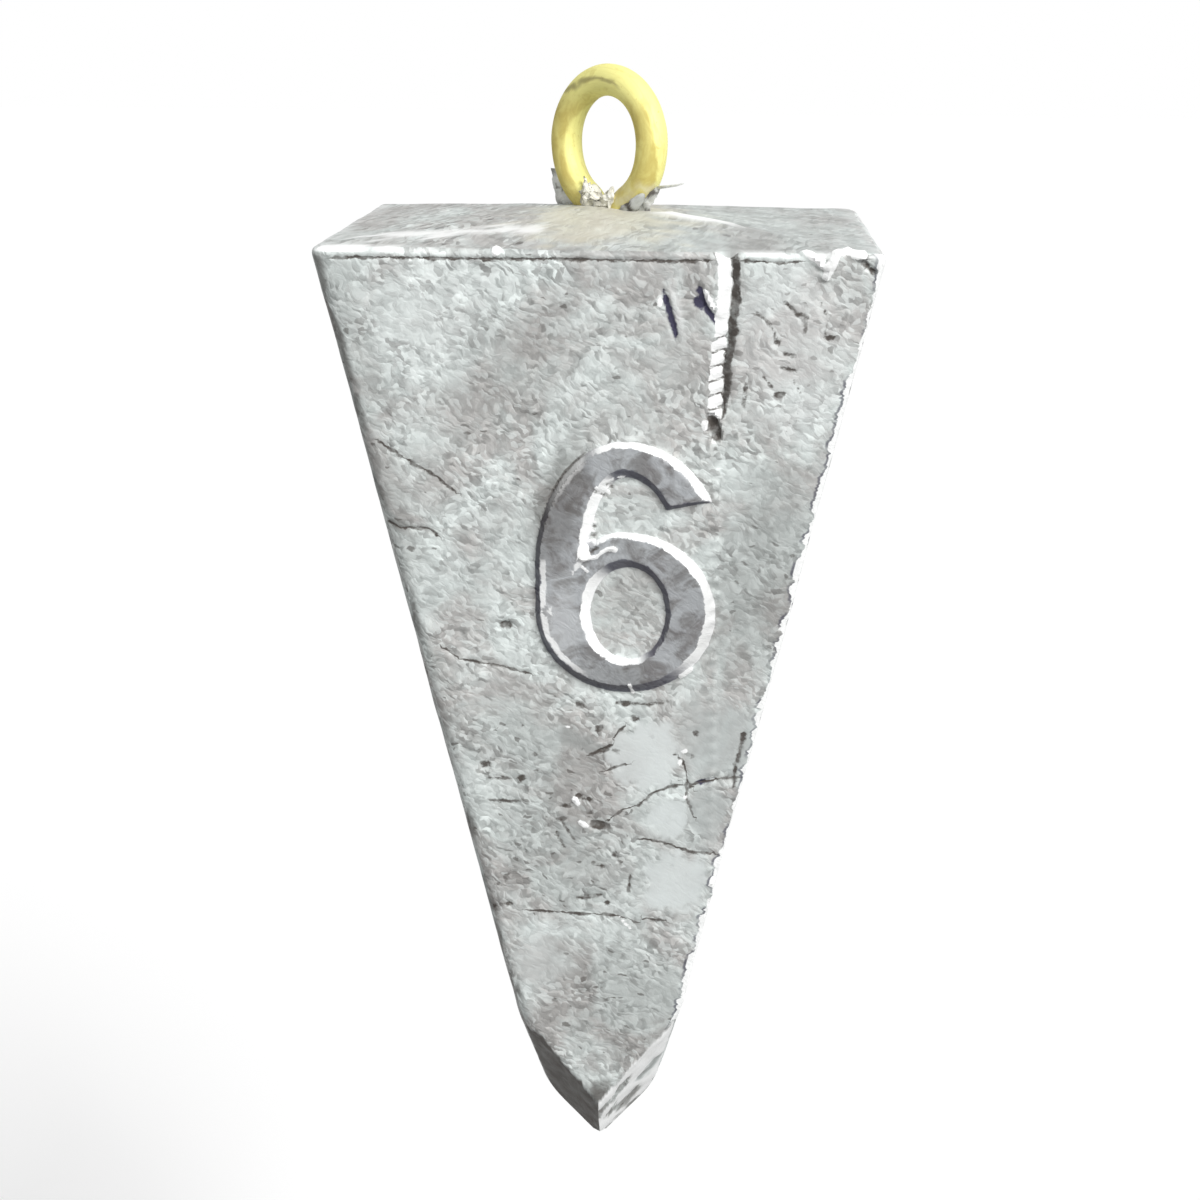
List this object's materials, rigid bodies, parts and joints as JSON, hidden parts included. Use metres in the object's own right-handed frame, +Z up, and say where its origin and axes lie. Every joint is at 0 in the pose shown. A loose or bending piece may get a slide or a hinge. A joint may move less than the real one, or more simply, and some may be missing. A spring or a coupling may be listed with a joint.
{
  "type": "fishing sinker",
  "caption": "Square pyramid fishing sinker of cast lead that hangs point down from a brass wire eye cast into its crown, with a raised weight numeral on the front.",
  "frame": {"origin": "centre of the wire eye's loop, where the line is tied and the sinker hangs", "axes": "+Z up along the axis, from the point to the eye; +X to the right as the numeral is read; the side with the numeral looks along -Y"},
  "size_m": [0.0268, 0.0268, 0.0579],
  "materials": {
    "lead": "dull, mottled, oxidised cast lead",
    "brass": "satin drawn brass wire"
  },
  "bodies": {
    "root": {"lead_body": "lead", "wire_eye": "brass"}
  },
  "joints": []
}
